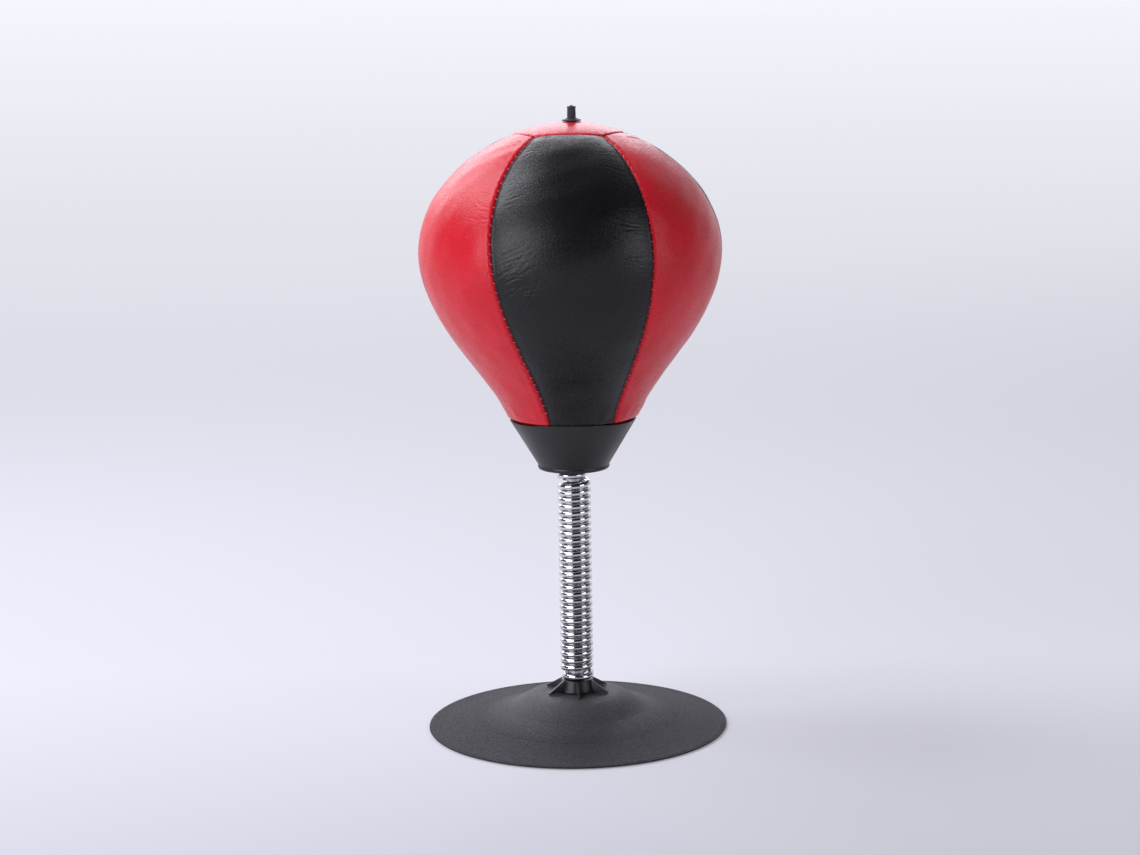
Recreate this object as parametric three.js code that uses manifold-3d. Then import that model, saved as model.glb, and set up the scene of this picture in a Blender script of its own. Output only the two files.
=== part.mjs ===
// A desk punching ball: an inflated leather-look ball held in a cone-shaped cup, on a close-wound
// coil spring that is bolted to a suction base. Millimetres, +Z up, front towards -Y, and the
// origin on the surface that the base stands on, under its middle.
import * as THREE from "three";
import { mergeVertices } from "three/addons/utils/BufferGeometryUtils.js";
import Module from "manifold-3d";

// ---- Driving dimensions ----

const GAP = 0.3; // clearance between neighbouring pieces

const BASE = {
  radius: 80,
  lip: 1, // thickness of the outer edge
  sealWidth: 7, // flat ring that meets the table
  domeTop: 18.6,
  domeRadius: 18.5, // flat top of the dome
  domeWall: 4,
};
const HUB = { radius: 8.4, height: 6.5, footRadius: 9.3, collarRadius: 10, collarHeight: 0.8 };
const RIB = { count: 6, reach: 18.4, tipHeight: 0.5, thickness: 1.4, turn: 3 };
const SPRING = {
  wire: 3.4,
  radius: 7.2, // to the middle of the wire
  bottomNeck: 6.25,
  topNeck: 4.85,
  turns: 30,
  sections: 12,
  startAngle: 90, // both ends of the wire lie at the back
};
const CUP = {
  rimRadius: 33.5,
  rimHeight: 167.3,
  floorRadius: 19,
  floorHeight: 140.7,
  lipHeight: 1.5,
  wall: 1.8,
  floorWall: 2.5,
  bossRadius: 6.8,
  bossDrop: 1.6,
};
const BALL = {
  radius: 79.2,
  equator: 256.3, // height of its widest
  apex: 322.8,
  neckRadius: 34.6,
  neckHeight: 169.4,
  leather: 1.8,
  topPanelRadius: 29, // to the corners of the hexagonal top panel
  topPanelBow: 0.55, // how far its edges bow out, from 0, straight, to 1, a circle
  seamDip: 1.2, // how far a panel's edge sinks into its seam
  seamFall: 8, // how far from the seam the dip reaches
};
const LEATHER_HOLE = 9; // in the middle of the gathered leather, over the cup's floor
const THREAD_RADIUS = 0.45;
const BLADDER = { inset: 3.6, wall: 1, floorHeight: 157.7, floorRadius: 18 };
const VALVE = {
  offset: 1.7, // its middle lies a little to the right of the ball's
  stemRadius: 2.25,
  boreRadius: 1.1,
  stemTop: 330.6,
  stemFoot: 311.9,
  collarRadius: 4.95,
  collarHeight: 1.3,
  plugHeight: 0.5, // above the stem
};
const BASE_BOLT = { shank: 3.9, head: 5.1, headHeight: 3 };
const CUP_BOLT = { shank: 2.75, head: 4.5, headHeight: 2.6 };

// Where each of the six side seams lies, in degrees round from the front towards +X: at the top
// panel, at the ball's widest, and at the cup. Hand sewing leaves them a few degrees uneven.
const SEAMS = [
  { top: -36.5, middle: -30, foot: -21 },
  { top: 37, middle: 31.5, foot: 38 },
  { top: 91, middle: 84, foot: 92 },
  { top: 149, middle: 148, foot: 152 },
  { top: 208, middle: 209, foot: 212 },
  { top: 267, middle: 268.5, foot: 270 },
];

// ---- Heights that follow from them ----

const hubFoot = BASE.domeTop + GAP;
const hubTop = hubFoot + HUB.height;
const springFoot = hubTop + SPRING.wire / 2 + 0.2;
const springTop = CUP.floorHeight - CUP.bossDrop - GAP - SPRING.wire / 2;
const pitch = (springTop - springFoot) / SPRING.turns;
const cupFloorTop = CUP.floorHeight + CUP.floorWall;

// ---- Materials ----

const material = (color, roughness, metalness = 0) =>
  new THREE.MeshStandardMaterial({ color, roughness, metalness });
const LOOKS = {
  softBlack: material(0x2c2c30, 0.75),
  hardBlack: material(0x222225, 0.45),
  chrome: material(0xd8d8dc, 0.08, 1),
  steel: material(0x9a9a9e, 0.35, 1),
  redLeather: material(0xc4202c, 0.42),
  blackLeather: material(0x1f1f22, 0.42),
  bladderRubber: material(0x8a4a3a, 0.7),
  redThread: material(0xc8303a, 0.7),
};

// ---- Helpers ----

const wasm = await Module();
wasm.setup();

// A geometry with its shared vertices merged, as a manifold-3d solid.
function solidOf(geometry) {
  const bare = geometry.clone();
  for (const name of Object.keys(bare.attributes)) {
    if (name !== "position") bare.deleteAttribute(name);
  }
  const merged = mergeVertices(bare, 1e-3);
  return new wasm.Manifold(
    new wasm.Mesh({
      numProp: 3,
      vertProperties: merged.attributes.position.array,
      triVerts: new Uint32Array(merged.index.array),
    }),
  );
}

function geometryOf(solid) {
  const mesh = solid.getMesh();
  const geometry = new THREE.BufferGeometry();
  geometry.setAttribute("position", new THREE.BufferAttribute(mesh.vertProperties, 3));
  geometry.setIndex(new THREE.BufferAttribute(mesh.triVerts, 1));
  geometry.computeVertexNormals();
  return geometry;
}

// Turns a loop of [radius, height] points about the Z axis.
function turned(points, segments) {
  const loop = points.map(([radius, height]) => new THREE.Vector2(radius, height));
  if (THREE.ShapeUtils.area(loop) < 0) loop.reverse();
  const onAxis = loop.filter((p) => p.x === 0).length;
  if (onAxis) {
    // Start at the point that follows the stretch along the axis.
    while (!(loop[0].x === 0 && loop[loop.length - 1].x === 0)) loop.push(loop.shift());
  } else {
    loop.push(loop[0].clone());
  }
  return new THREE.LatheGeometry(loop, segments).rotateX(Math.PI / 2);
}

const ring = (inner, outer, foot, top, segments = 24) =>
  turned([[inner, foot], [outer, foot], [outer, top], [inner, top]], segments);

function curvePoints(curve, count) {
  return curve.getPoints(count).map((p) => [p.x, p.y]);
}

const bezier = (...points) =>
  new THREE.CubicBezierCurve(...points.map(([x, y]) => new THREE.Vector2(x, y)));

// A unit vector in plan at an angle in degrees round from the front towards +X.
function direction(degrees) {
  const angle = THREE.MathUtils.degToRad(degrees);
  return new THREE.Vector2(Math.sin(angle), -Math.cos(angle));
}

const part = new THREE.Group();

function add(name, geometry, look) {
  const mesh = new THREE.Mesh(geometry, look);
  mesh.name = name;
  part.add(mesh);
  return mesh;
}

// ---- Suction base ----

function suctionCup() {
  const hole = BASE_BOLT.shank + GAP;
  const { radius, lip, sealWidth, domeTop, domeRadius, domeWall } = BASE;
  const skirt = bezier([radius, lip], [66, 2.7], [48, 6.1], [37, 10.3]);
  const shoulder = bezier([37, 10.3], [31, 12.6], [26.8, domeTop], [domeRadius, domeTop]);
  const cavity = bezier([radius - sealWidth, 0], [60, 0.4], [44, 3.8], [33, 7.5]);
  const ceiling = domeTop - domeWall;
  const crown = bezier([33, 7.5], [28.5, 9.5], [25, ceiling], [domeRadius - 4, ceiling]);
  return turned(
    [
      [radius, 0],
      ...curvePoints(skirt, 6),
      ...curvePoints(shoulder, 5).slice(1),
      [hole, domeTop],
      [hole, ceiling],
      ...curvePoints(crown, 4).reverse(),
      ...curvePoints(cavity, 6).reverse().slice(1),
    ],
    40,
  );
}

// The stiff moulding that the spring stands on, with its gusset ribs.
function springHub() {
  const { radius, footRadius, collarRadius, collarHeight } = HUB;
  const column = turned(
    [
      [0, hubFoot],
      [collarRadius, hubFoot],
      [collarRadius, hubFoot + collarHeight],
      [footRadius, hubFoot + collarHeight],
      [radius, hubTop],
      [0, hubTop],
    ],
    30,
  );
  const gusset = new THREE.Shape([
    new THREE.Vector2(radius - 2, hubFoot),
    new THREE.Vector2(RIB.reach, hubFoot),
    new THREE.Vector2(RIB.reach, hubFoot + RIB.tipHeight),
    new THREE.Vector2(radius, hubTop - 0.4),
    new THREE.Vector2(radius - 2, hubTop - 0.4),
  ]);
  let solid = solidOf(column);
  for (let i = 0; i < RIB.count; i += 1) {
    const rib = new THREE.ExtrudeGeometry(gusset, { depth: RIB.thickness, bevelEnabled: false });
    rib.translate(0, 0, -RIB.thickness / 2);
    rib.rotateX(Math.PI / 2);
    const way = direction(RIB.turn + (360 / RIB.count) * i);
    rib.rotateZ(Math.atan2(way.y, way.x));
    solid = solid.add(solidOf(rib));
  }
  const bore = turned(
    [
      [0, hubFoot - 1],
      [BASE_BOLT.shank + GAP, hubFoot - 1],
      [BASE_BOLT.shank + GAP, hubTop + 1],
      [0, hubTop + 1],
    ],
    24,
  );
  return geometryOf(solid.subtract(solidOf(bore)));
}

// A pan-headed bolt along Z. way is 1 with the head on top and -1 with it underneath.
function panBolt({ shank, head, headHeight }, seat, end, way) {
  const crown = seat + way * headHeight;
  return turned(
    [
      [0, end],
      [shank - 0.5, end],
      [shank, end + way * 0.6],
      [shank, seat],
      [head, seat],
      [head, seat + way * headHeight * 0.55],
      [head * 0.7, crown],
      [0, crown],
    ],
    20,
  );
}

function hexNut(flats, bore, foot, height) {
  const blank = new THREE.CylinderGeometry(flats / Math.sqrt(3), flats / Math.sqrt(3), height, 6);
  blank.rotateX(Math.PI / 2).translate(0, 0, foot + height / 2);
  const hole = new THREE.CylinderGeometry(bore, bore, height + 2, 20);
  hole.rotateX(Math.PI / 2).translate(0, 0, foot + height / 2);
  return geometryOf(solidOf(blank).subtract(solidOf(hole)));
}

function buildBase() {
  add("suction_cup", suctionCup(), LOOKS.softBlack);
  add("spring_hub", springHub(), LOOKS.hardBlack);
  const bore = BASE_BOLT.shank + GAP;
  // Under the dome, from the top down: a sealing washer, a steel washer and a nut.
  let level = BASE.domeTop - BASE.domeWall - GAP;
  const sealHeight = 1.5;
  add("seal_washer", ring(bore, 11, level - sealHeight, level), LOOKS.softBlack);
  level -= sealHeight + GAP;
  const washerHeight = 1.2;
  add("base_washer", ring(bore, 9.5, level - washerHeight, level), LOOKS.steel);
  level -= washerHeight + GAP;
  const nutHeight = 5;
  add("base_nut", hexNut(13, bore, level - nutHeight, nutHeight), LOOKS.steel);
  const seat = springFoot + SPRING.wire / 2 + 0.1;
  add("base_bolt", panBolt(BASE_BOLT, seat, level - nutHeight - 0.8, 1), LOOKS.steel);
}

// ---- Spring ----

const ease = (x) => {
  const t = THREE.MathUtils.clamp(x, 0, 1);
  return t * t * (3 - 2 * t);
};

// The height that the wire has gained a number of turns from either end. The end turn lies flat.
const climb = (turn) => pitch * (turn < 1 ? ease((turn - 0.6) / 0.4) : turn);

// The wire's middle line between two counts of turns from its foot. Both ends are drawn in to a
// neck, which a bolt head clamps.
class WireLine extends THREE.Curve {
  constructor(from, to) {
    super();
    this.from = from;
    this.to = to;
  }

  static height(turn) {
    const left = SPRING.turns - turn;
    return turn < left ? springFoot + climb(turn) : springTop - climb(left);
  }

  static radius(turn) {
    const { turns, radius, bottomNeck, topNeck } = SPRING;
    const opened = (neck, turnsIn) => neck + (radius - neck) * ease((turnsIn - 0.4) / 0.35);
    return Math.min(opened(bottomNeck, turn), opened(topNeck, turns - turn));
  }

  getPoint(t, target = new THREE.Vector3()) {
    const turn = this.from + (this.to - this.from) * t;
    const angle = turn * 2 * Math.PI + THREE.MathUtils.degToRad(SPRING.startAngle);
    const radius = WireLine.radius(turn);
    const height = WireLine.height(turn);
    return target.set(radius * Math.cos(angle), radius * Math.sin(angle), height);
  }
}

// The spring is one length of wire. It is cut here into short sections, each on its own body, so
// that it can bend along its length.
function buildSpring() {
  const sides = 6;
  const stepsPerTurn = 12;
  const section = new THREE.Shape();
  for (let i = 0; i < sides; i += 1) {
    const angle = (i / sides) * 2 * Math.PI;
    const x = (SPRING.wire / 2) * Math.cos(angle);
    const y = (SPRING.wire / 2) * Math.sin(angle);
    if (i) section.lineTo(x, y);
    else section.moveTo(x, y);
  }
  section.closePath();
  const turnsEach = SPRING.turns / SPRING.sections;
  const trim = GAP / 2 / (2 * Math.PI * SPRING.radius);
  for (let i = 0; i < SPRING.sections; i += 1) {
    const line = new WireLine(i * turnsEach + trim, (i + 1) * turnsEach - trim);
    const wire = new THREE.ExtrudeGeometry(section, {
      extrudePath: line,
      steps: Math.round(turnsEach * stepsPerTurn),
    });
    add(`spring_section_${String(i + 1).padStart(2, "0")}`, wire, LOOKS.chrome);
  }
}

// ---- Cup under the ball, and what clamps the ball's neck into it ----

// The cup's inner wall, from the floor corner to the rim, as [radius, height].
const cupInner = [
  [CUP.floorRadius - 3, cupFloorTop],
  [CUP.rimRadius - CUP.wall, CUP.rimHeight],
];

function ballCup() {
  const { rimRadius, rimHeight, floorRadius, floorHeight, lipHeight } = CUP;
  const hole = CUP_BOLT.shank + GAP;
  return turned(
    [
      [hole, floorHeight - CUP.bossDrop],
      [CUP.bossRadius, floorHeight - CUP.bossDrop],
      [CUP.bossRadius + 0.4, floorHeight],
      [floorRadius - 0.4, floorHeight],
      [floorRadius, floorHeight + 0.4],
      [floorRadius, floorHeight + lipHeight],
      [floorRadius - 0.2, floorHeight + lipHeight + 0.3],
      [rimRadius, rimHeight],
      [cupInner[1][0], rimHeight],
      cupInner[0],
      [hole, cupFloorTop],
    ],
    36,
  );
}

function buildCup() {
  add("ball_cup", ballCup(), LOOKS.hardBlack);
  const bore = CUP_BOLT.shank + GAP;
  const headSeat = springTop - SPRING.wire / 2 - 0.35;
  // Inside the ball's neck, from the leather up: the clamp plate, a washer and a nut.
  let level = cupFloorTop + GAP + BALL.leather + GAP;
  const plateHeight = 2;
  add("clamp_plate", ring(bore, 13, level, level + plateHeight), LOOKS.steel);
  level += plateHeight + GAP;
  const washerHeight = 1.2;
  add("clamp_washer", ring(bore, 6.5, level, level + washerHeight, 18), LOOKS.steel);
  level += washerHeight + GAP;
  const nutHeight = 4.6;
  add("clamp_nut", hexNut(10, bore, level, nutHeight), LOOKS.steel);
  add("cup_bolt", panBolt(CUP_BOLT, headSeat, level + nutHeight + 0.8, -1), LOOKS.steel);
}

// ---- Ball ----

// The ball's outer line from its top down the side, into the cup and in over the cup's floor.
function makeBallLine() {
  const { radius, equator, apex, neckRadius, neckHeight } = BALL;
  const cupGap = 0.45;
  const [corner, rim] = cupInner.map(([x, y]) => [x - cupGap, y + cupGap]);
  const floor = [LEATHER_HOLE, cupFloorTop + GAP];
  const line = (from, to) => new THREE.LineCurve(new THREE.Vector2(...from), new THREE.Vector2(...to));
  const curve = new THREE.CurvePath();
  curve.add(bezier([0, apex], [35.5, apex], [radius, equator + 38], [radius, equator]));
  curve.add(
    bezier(
      [radius, equator],
      [radius, equator - 35],
      [neckRadius + 14.3, neckHeight + 29],
      [neckRadius, neckHeight],
    ),
  );
  curve.add(line([neckRadius, neckHeight], rim));
  curve.add(line(rim, corner));
  curve.add(line(corner, floor));
  return curve;
}
const ballLine = makeBallLine();
const [, shareAtEquator, shareAtNeck, shareAtRim, shareAtCorner] = [0, ...ballLine.getCurveLengths()].map(
  (length) => length / ballLine.getLength(),
);

// A point on the ball's line, moved in by a depth along the surface normal.
function onBall(share, depth) {
  const step = 0.004;
  const here = ballLine.getPoint(share);
  const before = ballLine.getPoint(Math.max(0, share - step));
  const after = ballLine.getPoint(Math.min(1, share + step));
  const along = after.sub(before).normalize();
  return new THREE.Vector2(here.x + along.y * depth, here.y - along.x * depth);
}

// The share of the ball's line, above its widest, at which it reaches a radius.
function shareAt(radius) {
  let [low, high] = [0, shareAtEquator];
  while (high - low > 1e-5) {
    const middle = (low + high) / 2;
    if (ballLine.getPoint(middle).x < radius) low = middle;
    else high = middle;
  }
  return low;
}
const shareAtTopSeam = shareAt(BALL.topPanelRadius);

// A seam's angle, in degrees, at a share of the ball's line: a parabola through its three angles.
function seamAngle(seam, share) {
  const [a, b, c] = [shareAtTopSeam, shareAtEquator, shareAtNeck];
  const x = THREE.MathUtils.clamp(share, a, c);
  return (
    (seam.top * (x - b) * (x - c)) / ((a - b) * (a - c)) +
    (seam.middle * (x - a) * (x - c)) / ((b - a) * (b - c)) +
    (seam.foot * (x - a) * (x - b)) / ((c - a) * (c - b))
  );
}

// Seam i, counting past the last one back to the first, a full turn on.
function seam(i) {
  const round = 360 * Math.floor(i / SEAMS.length);
  const { top, middle, foot } = SEAMS[i % SEAMS.length];
  return { top: top + round, middle: middle + round, foot: foot + round };
}

// The radius of the six-sided seam round the top panel, at an angle between two corners.
function hexRadius(degrees, from, to) {
  const half = THREE.MathUtils.degToRad((to - from) / 2);
  const off = THREE.MathUtils.degToRad(degrees - (from + to) / 2);
  const straight = (BALL.topPanelRadius * Math.cos(half)) / Math.cos(off);
  return THREE.MathUtils.lerp(straight, BALL.topPanelRadius, BALL.topPanelBow);
}

const seamDepth = (distance) => BALL.seamDip * Math.max(0, 1 - distance / BALL.seamFall) ** 2;

// One of the six side panels: a thin block bent onto the ball between two seams.
function sidePanel(i) {
  const [left, right] = [seam(i), seam(i + 1)];
  const edge = GAP / 2 + 0.2;
  const rowsAboveCup = 13;
  const rows = rowsAboveCup + 3;
  const panel = new THREE.BoxGeometry(1, 1, 1, 6, rows, 1);
  const position = panel.getAttribute("position");
  for (let v = 0; v < position.count; v += 1) {
    const across = position.getX(v) + 0.5;
    const outward = position.getZ(v) + 0.5;
    const row = Math.round((0.5 - position.getY(v)) * rows);
    const topAngle = THREE.MathUtils.lerp(left.top, right.top, across);
    const start = shareAt(hexRadius(topAngle, left.top, right.top) + edge);
    const share =
      row < rowsAboveCup
        ? THREE.MathUtils.lerp(start, shareAtNeck, row / rowsAboveCup)
        : [shareAtNeck, shareAtRim, shareAtCorner, 1][row - rowsAboveCup];
    const [from, to] = [seamAngle(left, share), seamAngle(right, share)];
    const radius = ballLine.getPoint(share).x;
    const trim = THREE.MathUtils.radToDeg(edge / radius);
    const angle = THREE.MathUtils.lerp(from + trim, to - trim, across);
    const fromSide = THREE.MathUtils.degToRad(Math.min(angle - from, to - angle)) * radius;
    const fromTop = (share - start) * ballLine.getLength();
    const dip = row < rowsAboveCup ? seamDepth(Math.min(fromSide, fromTop)) : 0;
    const point = onBall(share, dip + (1 - outward) * BALL.leather);
    const way = direction(angle);
    position.setXYZ(v, way.x * point.x, way.y * point.x, point.y);
  }
  return panel;
}

// Puts a turned geometry, whose radius runs from 0 to 1 at the hexagonal seam, onto the ball.
// place gives the radius and depth in millimetres for a point, and how far it shifts to the right.
function bendOverHexagon(geometry, place) {
  const position = geometry.getAttribute("position");
  const point = new THREE.Vector3();
  for (let v = 0; v < position.count; v += 1) {
    point.fromBufferAttribute(position, v);
    let degrees = THREE.MathUtils.radToDeg(Math.atan2(point.x, -point.y));
    while (degrees < SEAMS[0].top) degrees += 360;
    let i = 0;
    while (degrees > seam(i + 1).top) i += 1;
    const limit = hexRadius(degrees, seam(i).top, seam(i + 1).top);
    const { radius, depth, shift } = place(Math.hypot(point.x, point.y), point.z, limit);
    const placed = onBall(shareAt(radius), depth);
    const way = direction(degrees);
    position.setXYZ(v, way.x * placed.x + shift, way.y * placed.x, placed.y);
  }
  return geometry;
}

function topPanel() {
  const hole = VALVE.stemRadius + 0.4;
  const steps = [0, 0.22, 0.45, 0.68, 0.88, 1];
  const disc = turned([...steps.map((s) => [s + 1, 1]), ...steps.map((s) => [s + 1, 0]).reverse()], 36);
  return bendOverHexagon(disc, (fraction, outward, limit) => {
    const edge = limit - GAP / 2 - 0.2;
    const radius = THREE.MathUtils.lerp(hole, edge, fraction - 1);
    const depth = seamDepth(limit - radius) + (1 - outward) * BALL.leather;
    return { radius, depth, shift: VALVE.offset * (2 - fraction) };
  });
}

// The thread that shows along a side seam, as one thin cord laid in the seam.
function seamThread(i) {
  const points = [];
  const count = 20;
  const start = shareAtTopSeam + 0.012;
  const end = shareAtNeck - 0.01;
  for (let n = 0; n <= count; n += 1) {
    const share = THREE.MathUtils.lerp(start, end, n / count);
    const point = onBall(share, 0);
    const way = direction(seamAngle(seam(i), share));
    points.push(new THREE.Vector3(way.x * point.x, way.y * point.x, point.y));
  }
  const section = new THREE.Shape();
  section.moveTo(THREAD_RADIUS, 0);
  section.lineTo(0, THREAD_RADIUS);
  section.lineTo(-THREAD_RADIUS, 0);
  section.lineTo(0, -THREAD_RADIUS);
  section.closePath();
  return new THREE.ExtrudeGeometry(section, {
    extrudePath: new THREE.CatmullRomCurve3(points),
    steps: count,
  });
}

function topSeamThread() {
  const loop = new THREE.TorusGeometry(1, 0.5, 4, 48);
  return bendOverHexagon(loop, (fraction, height, limit) => ({
    radius: limit + (fraction - 1) * 2 * THREAD_RADIUS,
    depth: 0.2 - height * 2 * THREAD_RADIUS,
    shift: 0,
  }));
}

function bladder() {
  const shell = (inset, floorHeight) => {
    const points = [];
    const count = 11;
    for (let n = 0; n <= count; n += 1) {
      const share = THREE.MathUtils.lerp(0, shareAtNeck, n / count);
      const point = onBall(share, inset);
      points.push([n ? point.x : 0, point.y]);
    }
    return [...points, [BLADDER.floorRadius, floorHeight], [0, floorHeight]];
  };
  const { inset, wall, floorHeight } = BLADDER;
  const outside = solidOf(turned(shell(inset, floorHeight), 24));
  const inside = solidOf(turned(shell(inset + wall, floorHeight + wall), 24));
  const neck = VALVE.stemRadius + 0.4;
  const top = BALL.apex;
  const hole = turned([[0, top - 12], [neck, top - 12], [neck, top], [0, top]], 16);
  hole.translate(VALVE.offset, 0, 0);
  return geometryOf(outside.subtract(inside).subtract(solidOf(hole)));
}

const PANEL_NAMES = [
  ["black_panel_front", LOOKS.blackLeather],
  ["red_panel_right", LOOKS.redLeather],
  ["black_panel_right", LOOKS.blackLeather],
  ["red_panel_back", LOOKS.redLeather],
  ["black_panel_left", LOOKS.blackLeather],
  ["red_panel_left", LOOKS.redLeather],
];

function buildBall() {
  PANEL_NAMES.forEach(([name, look], i) => {
    add(name, sidePanel(i), look);
    add(`seam_thread_${i + 1}`, seamThread(i), LOOKS.redThread);
  });
  add("red_panel_top", topPanel(), LOOKS.redLeather);
  add("seam_thread_top", topSeamThread(), LOOKS.redThread);
  add("bladder", bladder(), LOOKS.bladderRubber);
}

// ---- Valve ----

function buildValve() {
  const { offset, stemRadius, boreRadius, stemTop, stemFoot, collarRadius, collarHeight } = VALVE;
  const stem = turned(
    [
      [boreRadius, stemFoot],
      [stemRadius, stemFoot],
      [stemRadius, stemTop - 0.3],
      [stemRadius - 0.2, stemTop],
      [boreRadius, stemTop],
    ],
    16,
  );
  add("valve_stem", stem.translate(offset, 0, 0), LOOKS.softBlack);
  const seat = BALL.apex + GAP;
  const eye = stemRadius + GAP;
  const collar = turned(
    [
      [eye, seat],
      [collarRadius, seat],
      [collarRadius, seat + 0.5],
      [collarRadius - 1, seat + collarHeight * 0.75],
      [eye + 0.3, seat + collarHeight],
      [eye, seat + collarHeight],
    ],
    20,
  );
  add("valve_collar", collar.translate(offset, 0, 0), LOOKS.softBlack);
  const radius = boreRadius - GAP;
  const foot = stemFoot + 4;
  const top = stemTop + VALVE.plugHeight;
  const plug = turned([[0, foot], [radius, foot], [radius, top - 0.2], [0, top]], 10);
  add("valve_plug", plug.translate(offset, 0, 0), LOOKS.softBlack);
}

buildBase();
buildSpring();
buildCup();
buildBall();
buildValve();

export default part;
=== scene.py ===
"""Looks of the desk punching ball: sewn leather, chromed spring, cup, hub, suction base and valve,
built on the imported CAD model. Shapes are worked out in millimetres in the CAD model's frame."""

import math
import random

import bmesh
import bpy
import numpy as np
from mathutils import Matrix, Vector


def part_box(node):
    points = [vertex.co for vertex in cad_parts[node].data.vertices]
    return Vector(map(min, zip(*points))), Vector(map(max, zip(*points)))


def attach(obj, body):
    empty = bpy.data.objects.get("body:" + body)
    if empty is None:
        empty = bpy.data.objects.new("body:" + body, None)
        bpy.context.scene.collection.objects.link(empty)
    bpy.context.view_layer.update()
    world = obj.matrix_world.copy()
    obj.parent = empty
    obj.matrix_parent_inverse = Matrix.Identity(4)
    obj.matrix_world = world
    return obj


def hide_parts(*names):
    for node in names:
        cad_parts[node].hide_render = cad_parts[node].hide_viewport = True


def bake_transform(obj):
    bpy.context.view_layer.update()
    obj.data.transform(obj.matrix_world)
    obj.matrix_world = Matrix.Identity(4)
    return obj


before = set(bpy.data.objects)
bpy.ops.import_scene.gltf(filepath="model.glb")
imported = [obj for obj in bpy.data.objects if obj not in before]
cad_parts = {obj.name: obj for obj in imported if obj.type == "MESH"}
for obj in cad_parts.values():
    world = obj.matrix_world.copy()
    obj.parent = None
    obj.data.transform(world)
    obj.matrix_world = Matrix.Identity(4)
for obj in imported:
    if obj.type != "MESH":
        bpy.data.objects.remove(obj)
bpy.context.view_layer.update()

MM = 0.001  # metres in a millimetre

# ---- Dimensions shared with the CAD model, in millimetres ----

WIRE = 3.4
COIL_RADIUS = 7.2
BOTTOM_NECK = 6.25
TOP_NECK = 4.85
TURNS = 30
SECTIONS = 12
START_ANGLE = 90
BALL_RADIUS = 79.2
EQUATOR = 256.3
APEX = 322.8
NECK_RADIUS = 34.6
NECK_HEIGHT = 169.4
TOP_PANEL_RADIUS = 29
TOP_PANEL_BOW = 0.55
LEATHER = 1.8
LEATHER_HOLE = 9
VALVE_OFFSET = 1.7  # the valve stands a little to the right of the middle
CUP_CORNER = (15.55, 143.65)  # the leather's outside where it turns in over the cup's floor
CUP_RIM = (31.25, 167.75)  # the leather's outside where it passes the cup's rim
CUP_FLOOR = 143.5  # the leather's outside where it lies on the cup's floor
CUP_UNDERSIDE = 140.7
# Lengths of the handles that shape the curves of the ball's outline, at the points it passes.
APEX_PULL = 35.5
EQUATOR_PULL_UP = 38
EQUATOR_PULL_DOWN = 35
NECK_PULL = (14.3, 29)  # outwards and upwards
# Each side seam's angle from the front towards +X: at the top panel, the ball's widest, the cup.
SEAMS = [
    (-36.5, -30, -21),
    (37, 31.5, 38),
    (91, 84, 92),
    (149, 148, 152),
    (208, 209, 212),
    (267, 268.5, 270),
]

# ---- Seam detail, in millimetres ----

STITCH_PITCH = 4.9
THREAD_RADIUS = 0.3
RED_ROLL = (1.8, 1.5)  # width and drop of a panel's edge where it turns down into its seam
BLACK_ROLL = (1.3, 1.3)
TOP_ROLL = (1.1, 0.9)
TOP_VALLEY = 0.35  # how deep the top seam's valley is, as a share of a side seam's
SEAM_GAP = 0.3  # from a panel's edge to the middle of its seam
VALLEY_DEPTH = 0.8
VALLEY_WIDTH = 4.5
NECK_BULGE = 0.4  # how far the leather swells out over the cup's rim, at its right
STITCH_REACH = 2.2  # how far a stitch reaches across its seam
STITCH_SHIFT = 0.35  # how much further out it starts in the red leather
STITCH_DEPTH = 2.1  # how deep its ends lie under the ball's line
STITCH_RISE = 1.1  # how far its middle stands above its ends
TOP_THREAD_LIFT = 0.35  # how much higher the top seam's stitches lie


# ---- Small helpers ----


def ease(x):
    t = np.clip(x, 0, 1)
    return t * t * (3 - 2 * t)


def bell(x, width):
    return np.exp(-((x / width) ** 2))


def node_corner(name, corner):
    """A CAD node's lowest (0) or highest (1) corner, in millimetres."""
    return np.array(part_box(name)[corner]) / MM


def grid_faces(rows, columns, offset=0, round_rows=False):
    """Quads over a grid of points; round_rows joins each row's last column to its first."""
    faces = []
    across = columns if round_rows else columns - 1
    for i in range(rows - 1):
        for j in range(across):
            a = offset + i * columns + j
            b = offset + i * columns + (j + 1) % columns
            faces.append((a, b, b + columns, a + columns))
    return faces


def new_piece(name, points, faces, material, smooth_angle=None):
    """A mesh object from points in millimetres, with its normals facing out."""
    mesh = bpy.data.meshes.new(name)
    mesh.from_pydata((np.asarray(points, float) * MM).tolist(), [], faces)
    work = bmesh.new()
    work.from_mesh(mesh)
    bmesh.ops.recalc_face_normals(work, faces=work.faces)
    work.to_mesh(mesh)
    work.free()
    mesh.shade_smooth()
    if smooth_angle is not None:
        mesh.set_sharp_from_angle(angle=math.radians(smooth_angle))
    piece = bpy.data.objects.new(name, mesh)
    bpy.context.scene.collection.objects.link(piece)
    piece.data.materials.append(material)
    return piece


def shell(name, outer, inner, material, round_rows=False):
    """A closed sheet between two grids of points of the same shape."""
    rows, columns = outer.shape[:2]
    points = np.concatenate([outer.reshape(-1, 3), inner.reshape(-1, 3)])
    under = rows * columns
    faces = grid_faces(rows, columns, 0, round_rows) + grid_faces(rows, columns, under, round_rows)
    rims = []
    for row in (0, rows - 1):
        rim = [row * columns + j for j in range(columns)]
        rims += list(zip(rim, rim[1:] + ([rim[0]] if round_rows else [])))
    if not round_rows:
        for column in (0, columns - 1):
            rim = [i * columns + column for i in range(rows)]
            rims += list(zip(rim, rim[1:]))
    faces += [(a, b, b + under, a + under) for a, b in rims]
    return new_piece(name, points, faces, material, smooth_angle=60)


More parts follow.
